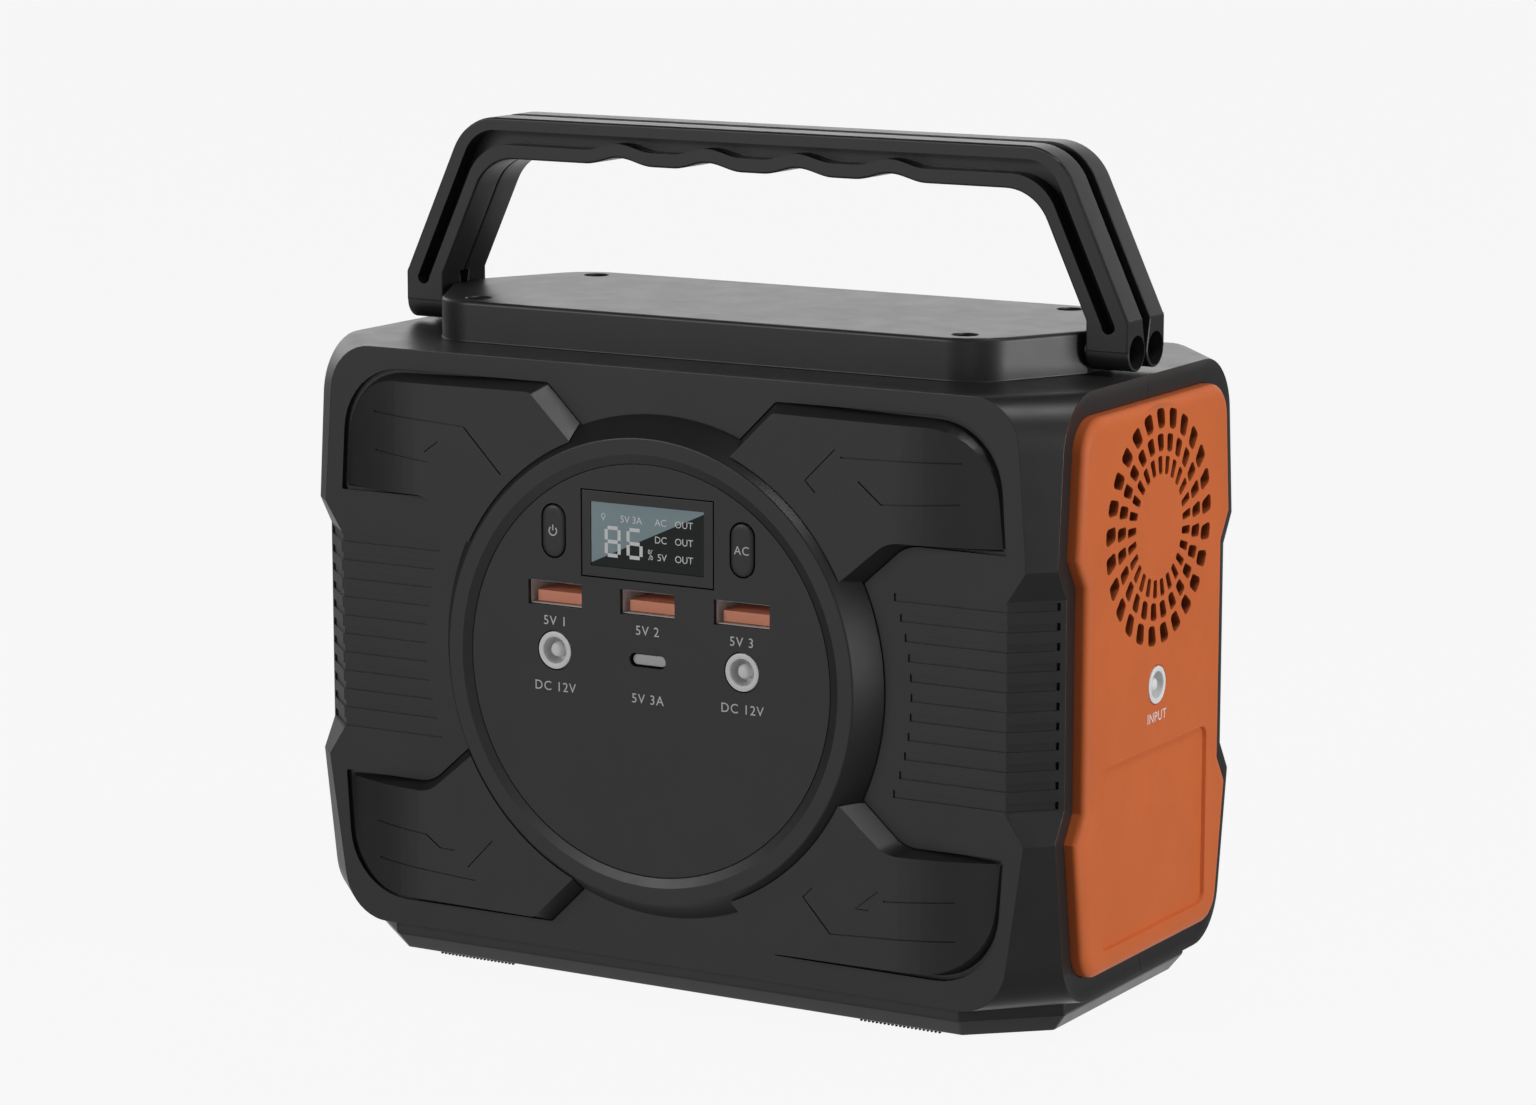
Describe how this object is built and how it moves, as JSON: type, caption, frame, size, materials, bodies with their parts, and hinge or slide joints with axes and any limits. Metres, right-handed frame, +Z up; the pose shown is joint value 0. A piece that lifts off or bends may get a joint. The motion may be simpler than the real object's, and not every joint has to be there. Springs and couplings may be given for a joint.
{
  "type": "portable power station",
  "caption": "Portable power station with a round control face, ribbed waist, vented side panels and a two-part folding carry handle.",
  "frame": {"origin": "on the ground under the middle of the object, with the handle upright", "axes": "+X to the right along the front, the control face looks along -Y, +Z up"},
  "size_m": [0.1881, 0.1052, 0.1841],
  "materials": {
    "charcoal_plastic": "fine moulded texture",
    "panel_plastic": "smooth satin",
    "orange_plastic": "fine moulded texture",
    "steel": "plated",
    "nickel": "satin plated",
    "tongue_plastic": "smooth",
    "white_plastic": "smooth",
    "rubber": "ribbed",
    "grey_plastic": "smooth",
    "circuit_board": "lacquered",
    "cell_wrap": "shrink film",
    "display_glass": "clear",
    "aluminium": "extruded"
  },
  "bodies": {
    "casing": {"front_shell": "charcoal_plastic", "rear_shell": "charcoal_plastic", "base_plinth": "charcoal_plastic", "top_plate": "charcoal_plastic", "control_bezel": "charcoal_plastic", "rear_bezel": "charcoal_plastic", "control_panel": "panel_plastic", "rear_cover": "panel_plastic", "display_frame": "panel_plastic", "ac_outlet": "panel_plastic", "right_side_panel": "orange_plastic", "left_side_panel": "orange_plastic", "pivot_pin_front_left": "steel", "pivot_pin_front_right": "steel", "pivot_pin_rear_left": "steel", "pivot_pin_rear_right": "steel", "plate_screw_front_left": "steel", "plate_screw_front_right": "steel", "plate_screw_rear_left": "steel", "plate_screw_rear_right": "steel", "case_screw_lower_left": "steel", "case_screw_lower_right": "steel", "case_screw_upper_left": "steel", "case_screw_upper_right": "steel", "usb_a_left_shell": "nickel", "usb_a_middle_shell": "nickel", "usb_a_right_shell": "nickel", "usb_c_shell": "nickel", "dc_jack_left_pin": "nickel", "dc_jack_right_pin": "nickel", "input_jack_pin": "nickel", "usb_a_left_tongue": "tongue_plastic", "usb_a_middle_tongue": "tongue_plastic", "usb_a_right_tongue": "tongue_plastic", "dc_jack_left_barrel": "white_plastic", "dc_jack_right_barrel": "white_plastic", "input_jack_barrel": "white_plastic", "foot_front_left": "rubber", "foot_front_right": "rubber", "foot_rear_left": "rubber", "foot_rear_right": "rubber", "usb_c_tongue": "grey_plastic", "display_module": "grey_plastic", "power_switch": "grey_plastic", "ac_switch": "grey_plastic", "fan_frame": "grey_plastic", "battery_cradle": "grey_plastic", "transformer": "grey_plastic", "control_board": "circuit_board", "bms_board": "circuit_board", "inverter_board": "circuit_board", "battery_pack": "cell_wrap", "display_window": "display_glass", "heat_sink": "aluminium"},
    "handle_front": {"handle_front": "charcoal_plastic"},
    "handle_rear": {"handle_rear": "charcoal_plastic"},
    "power_button": {"power_button": "panel_plastic"},
    "ac_button": {"ac_button": "panel_plastic"},
    "fan_rotor": {"fan_rotor": "grey_plastic"}
  },
  "joints": [
    {"name": "handle_front_hinge", "type": "hinge", "parent": "casing", "child": "handle_front", "pos_m": [0, -0.0044, 0.1419], "axis": [1, 0, 0], "range_deg": [0, 90]},
    {"name": "handle_rear_hinge", "type": "hinge", "parent": "casing", "child": "handle_rear", "pos_m": [0, 0.0044, 0.1419], "axis": [-1, 0, 0], "range_deg": [0, 90]},
    {"name": "power_button_press", "type": "slide", "parent": "casing", "child": "power_button", "axis": [0, 1, 0], "range_m": [0, 0.0008], "stiffness_N_per_m": 600, "springref_m": -0.0005},
    {"name": "ac_button_press", "type": "slide", "parent": "casing", "child": "ac_button", "axis": [0, 1, 0], "range_m": [0, 0.0008], "stiffness_N_per_m": 600, "springref_m": -0.0005},
    {"name": "fan_spin", "type": "hinge", "parent": "casing", "child": "fan_rotor", "pos_m": [0, 0, 0.1048], "axis": [1, 0, 0], "continuous": true}
  ]
}
